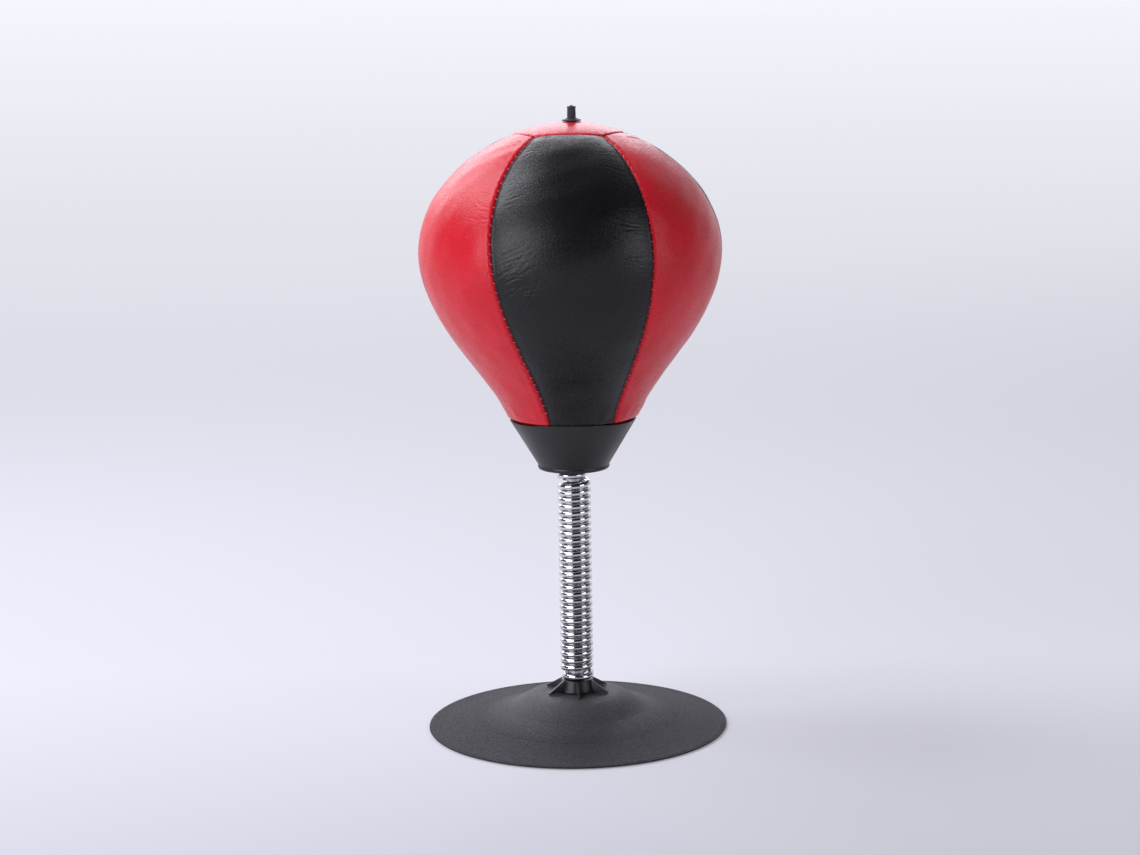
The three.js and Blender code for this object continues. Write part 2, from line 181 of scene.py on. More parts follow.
def turned(name, profile, material, segments=96, smooth_angle=40):
    """Turns a closed loop of (radius, height) about the Z axis. Points on the axis are joined."""
    points, rings = [], []
    for radius, height in profile:
        if radius <= 0:
            rings.append([len(points)] * segments)
            points.append((0, 0, height))
            continue
        rings.append([len(points) + j for j in range(segments)])
        for j in range(segments):
            angle = 2 * math.pi * j / segments
            points.append((radius * math.cos(angle), radius * math.sin(angle), height))
    faces = []
    for low, high in zip(rings, rings[1:] + rings[:1]):
        for j in range(segments):
            k = (j + 1) % segments
            corners = [low[j], low[k], high[k], high[j]]
            face = [c for n, c in enumerate(corners) if c not in corners[:n]]
            if len(face) > 2:
                faces.append(tuple(face))
    return new_piece(name, points, faces, material, smooth_angle)


def rounded(corners, radius, steps=4):
    """A closed loop of (x, y) corners with each one rounded; radius is one value or one a corner."""
    points = []
    count = len(corners)
    radii = radius if isinstance(radius, (list, tuple)) else [radius] * count
    for i, (corner, r) in enumerate(zip(corners, radii)):
        here = np.array(corner, float)
        before, after = np.array(corners[i - 1], float), np.array(corners[(i + 1) % count], float)
        back, on = before - here, after - here
        reach = min(r, np.linalg.norm(back) / 2.2, np.linalg.norm(on) / 2.2)
        if reach <= 0:
            points.append(tuple(here))
            continue
        start = here + back / np.linalg.norm(back) * reach
        end = here + on / np.linalg.norm(on) * reach
        for n in range(steps + 1):
            t = n / steps
            points.append(tuple((1 - t) ** 2 * start + 2 * t * (1 - t) * here + t * t * end))
    return points


def bezier(p0, p1, p2, p3, count):
    """count points along a curve from p0 to p3, pulled towards p1 and p2."""
    t = np.linspace(0, 1, count)[:, None]
    p0, p1, p2, p3 = (np.array(p, float) for p in (p0, p1, p2, p3))
    return (1 - t) ** 3 * p0 + 3 * (1 - t) ** 2 * t * p1 + 3 * (1 - t) * t**2 * p2 + t**3 * p3


def apply_modifiers(piece):
    depsgraph = bpy.context.evaluated_depsgraph_get()
    mesh = bpy.data.meshes.new_from_object(piece.evaluated_get(depsgraph))
    piece.modifiers.clear()
    piece.data = mesh


def soften_edges(piece, width):
    """Adds a bevel, its width in millimetres, along the piece's sharp edges."""
    bevel = piece.modifiers.new("soften", "BEVEL")
    bevel.width = width * MM
    bevel.segments = 2
    bevel.limit_method = "ANGLE"
    bevel.angle_limit = math.radians(40)


# ---- Camera, floor and light ----

CAMERA_PLACE = (-0.0017, -1.3, 0.396)  # in metres
CAMERA_LENS = 79  # in millimetres, on a sensor 36 mm wide
LOOK_DOWN = 10.2  # in degrees, as is the roll
CAMERA_ROLL = -0.95

def make_camera():
    """A long lens 1.3 metres in front of the object, looking a little down on it."""
    data = bpy.data.cameras.new("camera")
    data.sensor_width = 36
    data.lens = CAMERA_LENS
    data.clip_end = 100
    camera = bpy.data.objects.new("camera", data)
    place = Matrix.Translation(CAMERA_PLACE)
    tilt = Matrix.Rotation(math.radians(90 - LOOK_DOWN), 4, "X")
    roll = Matrix.Rotation(math.radians(CAMERA_ROLL), 4, "Z")
    camera.matrix_world = place @ tilt @ roll
    bpy.context.scene.collection.objects.link(camera)
    bpy.context.scene.camera = camera


def soft_box(name, place, target, width, height, power):
    """A rectangular light: its place, target and sizes in metres, its power in watts."""
    data = bpy.data.lights.new(name, "AREA")
    data.shape = "RECTANGLE"
    data.size, data.size_y = width, height
    data.energy = power
    data.color = COOL
    light = bpy.data.objects.new(name, data)
    light.location = place
    aim = Vector(target) - Vector(place)
    light.rotation_euler = aim.to_track_quat("-Z", "Y").to_euler()
    bpy.context.scene.collection.objects.link(light)


# The studio's brightness from straight ahead of the object, 0, round to straight behind it, 1.
STUDIO_LEVELS = [(0, 0.02), (0.5, 0.04), (0.72, 0.25), (0.84, 0.8), (1, 0.95)]
BACKDROP_LEVEL = 0.92  # brightness of the backdrop that the camera sees
COOL = (0.97, 0.97, 1.05)  # tint of all the light


def cool(level):
    return tuple(level * part for part in COOL)


def make_world():
    """A studio that is bright behind the object and dim behind the camera, so that chrome and
    gloss have something dark to reflect. The camera itself sees an even, pale backdrop."""
    world = bpy.data.worlds.new("studio")
    bpy.context.scene.world = world
    world.use_nodes = True
    nodes, links = world.node_tree.nodes, world.node_tree.links
    nodes.clear()
    place = nodes.new("ShaderNodeTexCoord")
    backward = nodes.new("ShaderNodeVectorMath")
    backward.operation = "DOT_PRODUCT"
    backward.inputs[1].default_value = (0, 1, 0)
    links.new(place.outputs["Generated"], backward.inputs[0])
    ramp = nodes.new("ShaderNodeValToRGB")
    while len(ramp.color_ramp.elements) < len(STUDIO_LEVELS):
        ramp.color_ramp.elements.new(0.5)
    for element, (position, level) in zip(ramp.color_ramp.elements, STUDIO_LEVELS):
        element.position = position
        element.color = (*cool(level), 1)
    links.new(remap(nodes, links, backward.outputs["Value"], 0, 1, -1, 1), ramp.inputs["Fac"])
    studio = nodes.new("ShaderNodeBackground")
    links.new(ramp.outputs["Color"], studio.inputs["Color"])
    backdrop = nodes.new("ShaderNodeBackground")
    backdrop.inputs["Color"].default_value = (*cool(BACKDROP_LEVEL), 1)
    path = nodes.new("ShaderNodeLightPath")
    mix = nodes.new("ShaderNodeMixShader")
    links.new(path.outputs["Is Camera Ray"], mix.inputs["Fac"])
    links.new(studio.outputs[0], mix.inputs[1])
    links.new(backdrop.outputs[0], mix.inputs[2])
    out = nodes.new("ShaderNodeOutputWorld")
    links.new(mix.outputs[0], out.inputs["Surface"])


FLOOR_COLOUR = (0.46, 0.46, 0.5)
# Light painted onto the floor as its own glow, standing in for the light that falls on it: (metres behind
# the object, brightness).
FLOOR_PAINTED_LIGHT = [
    (-20, 0.88),
    (-5, 0.8),
    (-2.2, 0.55),
    (-1, 0.2),
    (-0.3, 0.1),
    (0.1, 0.3),
    (0.9, 0.31),
    (2.6, 0.755),
    (4, 0.8),
    (7.5, 0.85),
    (14, 0.88),
    (30, 0.905),
]
# Past these distances the floor's base colour fades to black, so its brightness there is only the painted
# light of its glow.
FLOOR_UNLIT = (0.9, 2.6)  # metres behind the object over which the floor stops taking light


def make_floor():
    """A broad pale sheet. Its glow is set for the view from the photograph's camera."""
    mesh = bpy.data.meshes.new("floor")
    size = 150  # in metres, from the middle to each edge
    corners = [(-size, -size, 0), (size, -size, 0), (size, size, 0), (-size, size, 0)]
    mesh.from_pydata(corners, [], [(0, 1, 2, 3)])
    floor = bpy.data.objects.new("floor", mesh)
    floor.location.z = -0.3 * MM  # just clear of the base's rim
    bpy.context.scene.collection.objects.link(floor)
    material, shader, nodes, links = new_material("floor_paper", FLOOR_COLOUR, 0.9)
    shader.inputs["Specular IOR Level"].default_value = 0.1
    # The paper glows a little, and more towards the back: painted light standing in for the light on a lit
    # sweep.
    place = nodes.new("ShaderNodeTexCoord")
    split = nodes.new("ShaderNodeSeparateXYZ")
    links.new(place.outputs["Object"], split.inputs["Vector"])
    ramp = nodes.new("ShaderNodeValToRGB")
    while len(ramp.color_ramp.elements) < len(FLOOR_PAINTED_LIGHT):
        ramp.color_ramp.elements.new(0.5)
    near, far = FLOOR_PAINTED_LIGHT[0][0], FLOOR_PAINTED_LIGHT[-1][0]
    for element, (back, level) in zip(ramp.color_ramp.elements, FLOOR_PAINTED_LIGHT):
        element.position = (back - near) / (far - near)
        element.color = (*cool(level), 1)
    reach = remap(nodes, links, split.outputs["Y"], 0, 1, near, far)
    links.new(reach, ramp.inputs["Fac"])
    start, end = ((back - near) / (far - near) for back in FLOOR_UNLIT)
    colour = tint(nodes, links, reach, FLOOR_COLOUR, (0, 0, 0), start, end)
    links.new(colour, shader.inputs["Base Color"])
    links.new(ramp.outputs["Color"], shader.inputs["Emission Color"])
    shader.inputs["Emission Strength"].default_value = 1
    floor.data.materials.append(material)


def make_studio():
    bpy.context.scene.view_settings.view_transform = "Standard"
    make_world()
    make_floor()
    middle = (0, 0, 0.2)
    soft_box("key_left", (-1.07, -0.96, 0.7), middle, width=1.1, height=1.2, power=17)
    soft_box("fill_right", (1.15, -0.75, 0.6), middle, width=0.75, height=1.0, power=5)
    soft_box("top_left", (-0.75, 0.15, 1.2), middle, width=0.7, height=0.8, power=10)
    soft_box("back", (-0.8, 3.3, 2.0), (0, 0, 0.3), width=4, height=2, power=72)


# ---- Materials ----


def new_material(name, colour, roughness, metallic=0.0):
    """A new material with its main shader, its nodes and its links."""
    material = bpy.data.materials.new(name)
    material.use_nodes = True
    shader = material.node_tree.nodes["Principled BSDF"]
    shader.inputs["Base Color"].default_value = (*colour, 1)
    shader.inputs["Roughness"].default_value = roughness
    shader.inputs["Metallic"].default_value = metallic
    return material, shader, material.node_tree.nodes, material.node_tree.links


def place_of(nodes, links, stretch=(1, 1, 1)):
    """Object coordinates, stretched, as an output to plug into a texture."""
    place = nodes.new("ShaderNodeTexCoord")
    mapping = nodes.new("ShaderNodeMapping")
    mapping.inputs["Scale"].default_value = stretch
    links.new(place.outputs["Object"], mapping.inputs["Vector"])
    return mapping.outputs["Vector"]


def noise(nodes, links, place, scale, detail=3, roughness=0.55, distortion=0):
    texture = nodes.new("ShaderNodeTexNoise")
    texture.inputs["Scale"].default_value = scale
    texture.inputs["Detail"].default_value = detail
    texture.inputs["Roughness"].default_value = roughness
    texture.inputs["Distortion"].default_value = distortion
    links.new(place, texture.inputs["Vector"])
    return texture.outputs["Fac"]


def cells(nodes, links, place, scale, feature="F1"):
    texture = nodes.new("ShaderNodeTexVoronoi")
    texture.feature = feature
    texture.inputs["Scale"].default_value = scale
    links.new(place, texture.inputs["Vector"])
    return texture.outputs["Distance"]


def remap(nodes, links, value, low, high, start=0.35, end=0.65):
    """value, taken from start..end to low..high."""
    node = nodes.new("ShaderNodeMapRange")
    node.inputs["From Min"].default_value = start
    node.inputs["From Max"].default_value = end
    node.inputs["To Min"].default_value = low
    node.inputs["To Max"].default_value = high
    links.new(value, node.inputs["Value"])
    return node.outputs["Result"]


def tint(nodes, links, value, low, high, start=0.35, end=0.65):
    """A colour that goes from low to high as value goes from start to end."""
    ramp = nodes.new("ShaderNodeValToRGB")
    ramp.color_ramp.elements[0].position = start
    ramp.color_ramp.elements[0].color = (*low, 1)
    ramp.color_ramp.elements[1].position = end
    ramp.color_ramp.elements[1].color = (*high, 1)
    links.new(value, ramp.inputs["Fac"])
    return ramp.outputs["Color"]


def add_bump(nodes, links, shader, heights):
    """Chains bumps onto the shader: each is (height output, strength, distance in mm)."""
    before = None
    for height, strength, distance in heights:
        bump = nodes.new("ShaderNodeBump")
        bump.inputs["Strength"].default_value = strength
        bump.inputs["Distance"].default_value = distance * MM
        links.new(height, bump.inputs["Height"])
        if before is not None:
            links.new(before, bump.inputs["Normal"])
        before = bump.outputs["Normal"]
    links.new(before, shader.inputs["Normal"])


def leather(name, low, high, roughness, gloss):
    """Coated leather: fine pebbled grain, small wrinkles, and a semi-gloss skin of uneven colour."""
    material, shader, nodes, links = new_material(name, high, roughness)
    place = place_of(nodes, links)
    broad = noise(nodes, links, place, 38, 4, 0.6)
    fine = noise(nodes, links, place, 900, 3, 0.6)
    pebble = cells(nodes, links, place, 1150)
    links.new(tint(nodes, links, broad, low, high), shader.inputs["Base Color"])
    links.new(remap(nodes, links, fine, roughness - 0.05, roughness + 0.06), shader.inputs["Roughness"])
    wrinkle = noise(nodes, links, place_of(nodes, links, (1, 1, 3.2)), 130, 5, 0.62, 0.8)
    crackle = cells(nodes, links, place_of(nodes, links, (1, 1, 1.5)), 620, "DISTANCE_TO_EDGE")
    grain = remap(nodes, links, crackle, 0, 1, 0, 0.25)
    heights = [(wrinkle, 0.22, 0.5), (grain, 0.25, 0.2), (pebble, 0.12, 0.1), (fine, 0.1, 0.06)]
    add_bump(nodes, links, shader, heights)
    shader.inputs["Specular IOR Level"].default_value = gloss
    return material


def thread_material():
    material, shader, nodes, links = new_material("red_thread", (0.6, 0.05, 0.08), 0.6)
    twist = noise(nodes, links, place_of(nodes, links), 2600, 2)
    colour = tint(nodes, links, twist, (0.42, 0.02, 0.04), (0.72, 0.09, 0.12))
    links.new(colour, shader.inputs["Base Color"])
    add_bump(nodes, links, shader, [(twist, 0.5, 0.08)])
    return material


def chrome_material():
    """Bright plating with a very faint grain and slightly duller patches."""
    material, shader, nodes, links = new_material("chrome", (0.86, 0.86, 0.88), 0.07, 1.0)
    place = place_of(nodes, links)
    broad = noise(nodes, links, place, 160, 4)
    fine = noise(nodes, links, place_of(nodes, links, (1, 1, 6)), 1500, 3)
    links.new(remap(nodes, links, broad, 0.05, 0.11), shader.inputs["Roughness"])
    colour = tint(nodes, links, broad, (0.62, 0.62, 0.64), (0.74, 0.74, 0.75))
    links.new(colour, shader.inputs["Base Color"])
    add_bump(nodes, links, shader, [(fine, 0.05, 0.03)])
    return material


def steel_material():
    """Zinc plating, for the hidden fasteners."""
    material, shader, nodes, links = new_material("zinc_steel", (0.55, 0.55, 0.57), 0.34, 1.0)
    place = place_of(nodes, links)
    spangle = cells(nodes, links, place, 420)
    colour = tint(nodes, links, spangle, (0.42, 0.42, 0.44), (0.66, 0.66, 0.68), 0, 1)
    links.new(colour, shader.inputs["Base Color"])
    dulling = noise(nodes, links, place, 700, 4)
    links.new(remap(nodes, links, dulling, 0.26, 0.44), shader.inputs["Roughness"])
    add_bump(nodes, links, shader, [(noise(nodes, links, place, 1800, 2), 0.15, 0.04)])
    return material


def soft_black_material():
    """Matte PVC with the fine sandy grain of its mould, speckled, and slightly uneven."""
    material, shader, nodes, links = new_material("soft_black_pvc", (0.022, 0.022, 0.028), 0.58)
    place = place_of(nodes, links)
    grain = noise(nodes, links, place, 1200, 2, 0.6)
    uneven = noise(nodes, links, place, 60, 6, 0.7)
    speckle = noise(nodes, links, place, 1500, 2, 0.6)
    colour = tint(nodes, links, speckle, (0.009, 0.009, 0.012), (0.036, 0.036, 0.046))
    links.new(colour, shader.inputs["Base Color"])
    links.new(remap(nodes, links, grain, 0.5, 0.72), shader.inputs["Roughness"])
    add_bump(nodes, links, shader, [(grain, 1, 0.8), (uneven, 0.1, 0.4)])
    # The raised middle of the base reflects more than its skirt: a painted sheen, its specular level rising
    # with height, standing in for brighter light on the dome.
    height = nodes.new("ShaderNodeSeparateXYZ")
    links.new(place, height.inputs["Vector"])
    painted_sheen_by_height = remap(nodes, links, height.outputs["Z"], 0.15, 0.6, 0.006, 0.014)
    links.new(painted_sheen_by_height, shader.inputs["Specular IOR Level"])
    return material


def hard_black_material():
    """Smooth satin plastic with faint flow marks from its mould."""
    material, shader, nodes, links = new_material("hard_black_plastic", (0.011, 0.011, 0.014), 0.38)
    place = place_of(nodes, links)
    flow = noise(nodes, links, place_of(nodes, links, (1, 1, 0.3)), 90, 4)
    fine = noise(nodes, links, place, 1400, 3)
    colour = tint(nodes, links, flow, (0.005, 0.005, 0.0065), (0.009, 0.009, 0.0115))
    links.new(colour, shader.inputs["Base Color"])
    links.new(remap(nodes, links, flow, 0.32, 0.44), shader.inputs["Roughness"])
    add_bump(nodes, links, shader, [(fine, 0.12, 0.05), (flow, 0.06, 0.3)])
    return material


def bladder_material():
    """Brown rubber with a pale bloom."""
    material, shader, nodes, links = new_material("bladder_rubber", (0.26, 0.1, 0.06), 0.62)
    place = place_of(nodes, links)
    bloom = noise(nodes, links, place, 55, 5)
    colour = tint(nodes, links, bloom, (0.22, 0.08, 0.05), (0.36, 0.17, 0.12))
    links.new(colour, shader.inputs["Base Color"])
    add_bump(nodes, links, shader, [(noise(nodes, links, place, 900, 3), 0.2, 0.08)])
    return material


# ---- The ball's outer line ----


def ball_line():
    """Arc length, radius, height and outward normal along the line, from its top to the cup's floor."""
    widest = (BALL_RADIUS, EQUATOR)
    above = (BALL_RADIUS, EQUATOR + EQUATOR_PULL_UP)
    below = (BALL_RADIUS, EQUATOR - EQUATOR_PULL_DOWN)
    neck = (NECK_RADIUS, NECK_HEIGHT)
    out_of_neck = (NECK_RADIUS + NECK_PULL[0], NECK_HEIGHT + NECK_PULL[1])
    upper = bezier((0, APEX), (APEX_PULL, APEX), above, widest, 500)
    lower = bezier(widest, below, out_of_neck, neck, 500)
    runs = [upper, lower[1:]]
    start = neck
    for end in (CUP_RIM, CUP_CORNER, (LEATHER_HOLE, CUP_FLOOR)):
        runs.append(np.linspace(start, end, 60)[1:])
        start = end
    line = np.concatenate(runs)
    lengths = np.concatenate([[0], np.cumsum(np.linalg.norm(np.diff(line, axis=0), axis=1))])
    marks = np.cumsum([len(run) for run in runs]) - 1
    even = np.arange(0, lengths[-1], 0.25)
    radius, height = np.interp(even, lengths, line[:, 0]), np.interp(even, lengths, line[:, 1])
    half = 4  # points either side that a normal is taken over
    back = np.clip(np.arange(len(even)) - half, 0, None)
    on = np.clip(np.arange(len(even)) + half, None, len(even) - 1)
    along = np.stack([radius[on] - radius[back], height[on] - height[back]], 1)
    along /= np.linalg.norm(along, axis=1)[:, None]
    return even, radius, height, -along[:, 1], along[:, 0], lengths[marks]


LINE_S, LINE_R, LINE_Z, NORMAL_R, NORMAL_Z, MARKS = ball_line()
S_EQUATOR, S_NECK, S_RIM, S_CORNER, S_END = MARKS


def ball_radius(s):
    """The ball's radius at arc lengths s from its top."""
    return np.interp(s, LINE_S, LINE_R)


def s_at_radius(radius):
    """The arc length at a radius above the ball's widest."""
    above = LINE_S < S_EQUATOR
    return np.interp(radius, LINE_R[above], LINE_S[above])


S_TOP_SEAM = float(s_at_radius(TOP_PANEL_RADIUS))


def on_ball(degrees, s, height):
    """Points at angles round from the front, arc lengths from the top, and heights off the line."""
    angle = np.radians(degrees)
    radius = ball_radius(s) + np.interp(s, LINE_S, NORMAL_R) * height
    z = np.interp(s, LINE_S, LINE_Z) + np.interp(s, LINE_S, NORMAL_Z) * height
    return np.stack([np.sin(angle) * radius, -np.cos(angle) * radius, z], -1)


def seam_angle(i, s):
    """Seam i's angle at arc lengths s: a parabola through its three angles."""
    turn = 360 * (i // len(SEAMS))
    top, middle, foot = (angle + turn for angle in SEAMS[i % len(SEAMS)])
    a, b, c = S_TOP_SEAM, S_EQUATOR, S_NECK
    x = np.clip(s, a, c)
    return (
        top * (x - b) * (x - c) / ((a - b) * (a - c))
        + middle * (x - a) * (x - c) / ((b - a) * (b - c))
        + foot * (x - a) * (x - b) / ((c - a) * (c - b))
    )


def top_seam(degrees, i):
    """(radius, angle off the edge's middle) of the six-sided top seam, at angles along its edge i."""
    start, end = seam_angle(i, S_TOP_SEAM), seam_angle(i + 1, S_TOP_SEAM)
    off = np.radians(degrees - (start + end) / 2)
    straight = TOP_PANEL_RADIUS * math.cos(math.radians((end - start) / 2)) / np.cos(off)
    return straight + (TOP_PANEL_RADIUS - straight) * TOP_PANEL_BOW, off


# ---- Leather ----


def roll(distance, shape):
    """How far the leather drops where its edge turns down into a seam; shape is (width, drop)."""
    width, drop = shape
    inside = np.clip(1 - distance / width, 0, 1)
    return drop * (1 - np.sqrt(1 - inside**2))


def valley(distance):
    """How far the leather sinks towards a seam."""
    return VALLEY_DEPTH * np.exp(-distance / VALLEY_WIDTH)


def pucker(distance, along, red):
    """The pinch that each stitch makes in the leather beside it, sharp at the stitch itself."""
    beat = (0.5 + 0.5 * np.cos(2 * math.pi * along / STITCH_PITCH)) ** 6
    depth, reach = (0.62, 1.5) if red else (0.2, 0.9)
    return depth * beat * bell(distance, reach)


def lip(distance, red):
    """The swelling of the leather beside its seam, which its folded edge holds up."""
    return 0.22 * bell(distance - 2.2, 1.3) if red else 0.4 * bell(distance - 0.75, 0.5)


def sway_of_surface(x, y, seed):
    """Slow unevenness of the inflated leather."""
    chance = random.Random(seed)
    height = 0
    for _ in range(7):
        angle, length = chance.uniform(0, math.pi), chance.uniform(14, 45)
        phase = chance.uniform(0, 2 * math.pi)
        height = height + np.sin((x * math.cos(angle) + y * math.sin(angle)) * 2 * math.pi / length + phase)
    return 0.05 * height


def crease(x, y, start, tilt, length, width, depth, bend):
    """One wrinkle from a start point, at a tilt in degrees, fading at both ends."""
    c, s = math.cos(math.radians(tilt)), math.sin(math.radians(tilt))
    along = (x - start[0]) * c + (y - start[1]) * s
    off = -(x - start[0]) * s + (y - start[1]) * c - bend * along**2
    share = np.clip(along / length, 0, 1)
    fade = np.sin(math.pi * share) ** 0.8
    return depth * fade * (0.45 * bell(np.abs(off) - 1.8 * width, width) - bell(off, width))


# Where each side panel is creased, as groups of wrinkles. Each is (the seam they start from, -1 for
# the left and 1 for the right, lowest and highest start, count, slope in degrees, its spread, length,
# depth).
CREASES = {
    0: [
        (-1, 222, 264, 40, 24, 6, 27, 0.17),
        (1, 244, 276, 24, 172, 6, 15, 0.13),
        (-1, 284, 318, 40, 38, 20, 10, 0.13),
        (1, 280, 316, 24, 155, 16, 12, 0.1),
    ],
    1: [
        (-1, 176, 226, 30, 32, 7, 20, 0.1),
        (1, 276, 318, 26, 133, 8, 20, 0.1),
        (-1, 230, 262, 12, 30, 12, 12, 0.07),
    ],
    2: [(-1, 190, 290, 26, 25, 12, 16, 0.1), (1, 190, 280, 24, 160, 12, 16, 0.1)],
    3: [(-1, 180, 250, 24, 28, 12, 18, 0.1), (1, 230, 300, 26, 155, 14, 16, 0.1)],
    4: [(-1, 200, 290, 28, 24, 12, 16, 0.1), (1, 180, 250, 20, 162, 12, 16, 0.1)],
    5: [
        (1, 276, 296, 26, 172, 14, 10, 0.14),
        (1, 180, 240, 14, 158, 12, 14, 0.07),
        (-1, 200, 280, 18, 22, 14, 16, 0.1),
    ],
}


def s_at_height(z):
    """The arc length at a height between the ball's top and its neck."""
    on_view = LINE_S < S_NECK
    return np.interp(-z, -LINE_Z[on_view], LINE_S[on_view])


def creases(i, left, right, s):
    """Height of all the wrinkles of side panel i, from distances to its seams and arc lengths."""
    chance = random.Random(41 + i)
    height = 0
    for side, low, high, count, slope, spread, length, depth in CREASES[i]:
        x = left if side < 0 else -right
        for _ in range(count):
            from_seam = chance.uniform(0.3, 8)
            start = (-side * from_seam, -float(s_at_height(chance.uniform(low, high))))
            tilt = slope + chance.gauss(0, spread)
            reach = length * chance.uniform(0.4, 1.2)
            width = chance.uniform(0.3, 0.55)
            bend = chance.uniform(-0.01, 0.01)
            drop = depth * chance.uniform(0.5, 1.3)
            height = height + crease(x, -s, start, tilt, reach, width, drop, bend)
    return height


# Distances from a seam of the rows or columns of points beside it, close together at the seam.
EDGE_STEPS = np.array([SEAM_GAP, 0.34, 0.41, 0.51, 0.64, 0.82, 1.05, 1.35, 1.7, 2.2, 2.9, 3.9, 5.2])
NARROW = 24  # a panel narrower than this has its steps drawn in
MIDDLE_COLUMNS = 84
ROWS_ABOVE_CUP = 330


def panel_rows():
    """A side panel's rows: arc lengths from its top edge down to the cup, then from the ball's top."""
    even = np.linspace(EDGE_STEPS[-1], S_NECK - S_TOP_SEAM, ROWS_ABOVE_CUP)[1:]
    in_cup = [
        np.linspace(S_NECK, S_RIM, 5)[1:],
        np.linspace(S_RIM, S_CORNER, 22)[1:],
        np.linspace(S_CORNER, S_END, 8)[1:],
    ]
    return np.concatenate([EDGE_STEPS, even]), np.concatenate(in_cup)


def panel_grid(i):
    """Side panel i's grid, as angles and arc lengths, and the arc lengths of its top edge."""
    down, in_cup = panel_rows()
    level = np.concatenate([S_TOP_SEAM + down, in_cup])  # the rows, if the top seam were round
    degrees = np.zeros((len(level), len(EDGE_STEPS) * 2 + MIDDLE_COLUMNS - 2))
    for row, s in enumerate(level):
        start, end = seam_angle(i, s), seam_angle(i + 1, s)
        width = math.radians(end - start) * float(ball_radius(s))
        near = EDGE_STEPS * min(1, width / NARROW)
        middle = np.linspace(near[-1], width - near[-1], MIDDLE_COLUMNS)[1:-1]
        across = np.concatenate([near, middle, width - near[::-1]])
        degrees[row] = start + (end - start) * across / width
    top_edge = s_at_radius(top_seam(seam_share(i, degrees[0]), i)[0])
    arc = np.zeros_like(degrees)
    for row in range(len(level)):
        if row >= len(down):
            arc[row] = in_cup[row - len(down)]
        elif down[row] < EDGE_STEPS[-1]:
            arc[row] = top_edge + down[row]
        else:
            arc[row] = top_edge + (S_NECK - top_edge) * (down[row] / down[-1])
    # The rows follow the top seam, so each point moves round to keep its share of the width.
    start, end = seam_angle(i, level)[:, None], seam_angle(i + 1, level)[:, None]
    share = (degrees - start) / (end - start)
    from_angle, to_angle = seam_angle(i, arc), seam_angle(i + 1, arc)
    return from_angle + (to_angle - from_angle) * share, arc, top_edge


def side_panel(i, name, red, material):
    """One side panel: a sheet over the ball between two seams, on into the cup."""
    degrees, arc, top_edge = panel_grid(i)
    left = np.radians(degrees - seam_angle(i, arc)) * ball_radius(arc)
    right = np.radians(seam_angle(i + 1, arc) - degrees) * ball_radius(arc)
    top = arc - top_edge
    free = 1 - ease((arc - S_NECK + 3) / 3)  # 0 where the cup presses the leather flat
    base = -(valley(left) + valley(right) + valley(top) * TOP_VALLEY) * free
    shape = RED_ROLL if red else BLACK_ROLL
    height = base - roll(left, shape) - roll(right, shape) - roll(top, TOP_ROLL)
    height -= (pucker(left, arc, red) + pucker(right, arc, red) + pucker(top, left, False)) * free
    height += (lip(left, red) + lip(right, red)) * free
    height += (creases(i, left, right, arc) + sway_of_surface(left, arc, 7 + i)) * free * ease(top / 4)
    gathers = 0.1 * np.sin(np.radians(degrees) * 17 + i) + 0.07 * np.sin(np.radians(degrees) * 31)
    bulge = NECK_BULGE * (0.3 + 0.7 * bell(degrees - 75, 40))
    height += (bulge + gathers) * bell(arc - (S_NECK - 5), 4) * ease(left / 5) * ease(right / 5)
    outer = on_ball(degrees, arc, height)
    inner = on_ball(degrees, arc, base - LEATHER)
    piece = shell(name, outer, inner, material)
    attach(piece, "ball")
    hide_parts(name)


def seam_share(i, degrees):
    """Angles at the top seam for angles spread between seams i and i + 1."""
    low, high = degrees.min(), degrees.max()
    start, end = seam_angle(i, S_TOP_SEAM), seam_angle(i + 1, S_TOP_SEAM)
    return start + (end - start) * (degrees - low) / (high - low)


def top_panel(material):
    """The hexagonal top panel, with a hole for the valve."""
    hole = 2.65
    per_edge = 40  # points along each of its six edges
    rings = 45  # from the hole out to the closer rings at the seam
    angles, limits, offs = [], [], []
    for i in range(len(SEAMS)):
        start, end = seam_angle(i, S_TOP_SEAM), seam_angle(i + 1, S_TOP_SEAM)
        edge = np.linspace(start, end, per_edge, endpoint=False)
        limit, off = top_seam(edge, i)
        angles.append(edge)
        limits.append(limit)
        offs.append(off)
    angles, limits, offs = (np.concatenate(part) for part in (angles, limits, offs))
    radii = []
    for inward in np.linspace(1, 0, rings, endpoint=False):
        radii.append(hole + (limits - EDGE_STEPS[-1] - hole) * (1 - inward))
    for step in EDGE_STEPS[::-1]:
        radii.append(limits - step / np.cos(offs))
    radius = np.array(radii)
    degrees = np.tile(angles, (len(radii), 1))
    edge_distance = (limits - radius) * np.cos(offs)
    x = radius * np.sin(np.radians(degrees))
    y = radius * np.cos(np.radians(degrees))
    along = limits * np.sin(offs)
    base = -valley(edge_distance) * TOP_VALLEY
    height = base - roll(edge_distance, TOP_ROLL) - 0.5 * pucker(edge_distance, along, True)
    height += sway_of_surface(x, y, 3) * ease((edge_distance - 1) / 5)
    arc = s_at_radius(radius)
    outer = on_ball(degrees, arc, height)
    inner = on_ball(degrees, arc, base - LEATHER)
    # The hole moves over to the valve and the edge stays where it is.
    shift = VALVE_OFFSET * edge_distance / edge_distance[0]
    outer[..., 0] += shift
    inner[..., 0] += shift
    piece = shell("red_panel_top", outer, inner, material, round_rows=True)
    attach(piece, "ball")
    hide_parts("red_panel_top")


# ---- Stitches ----


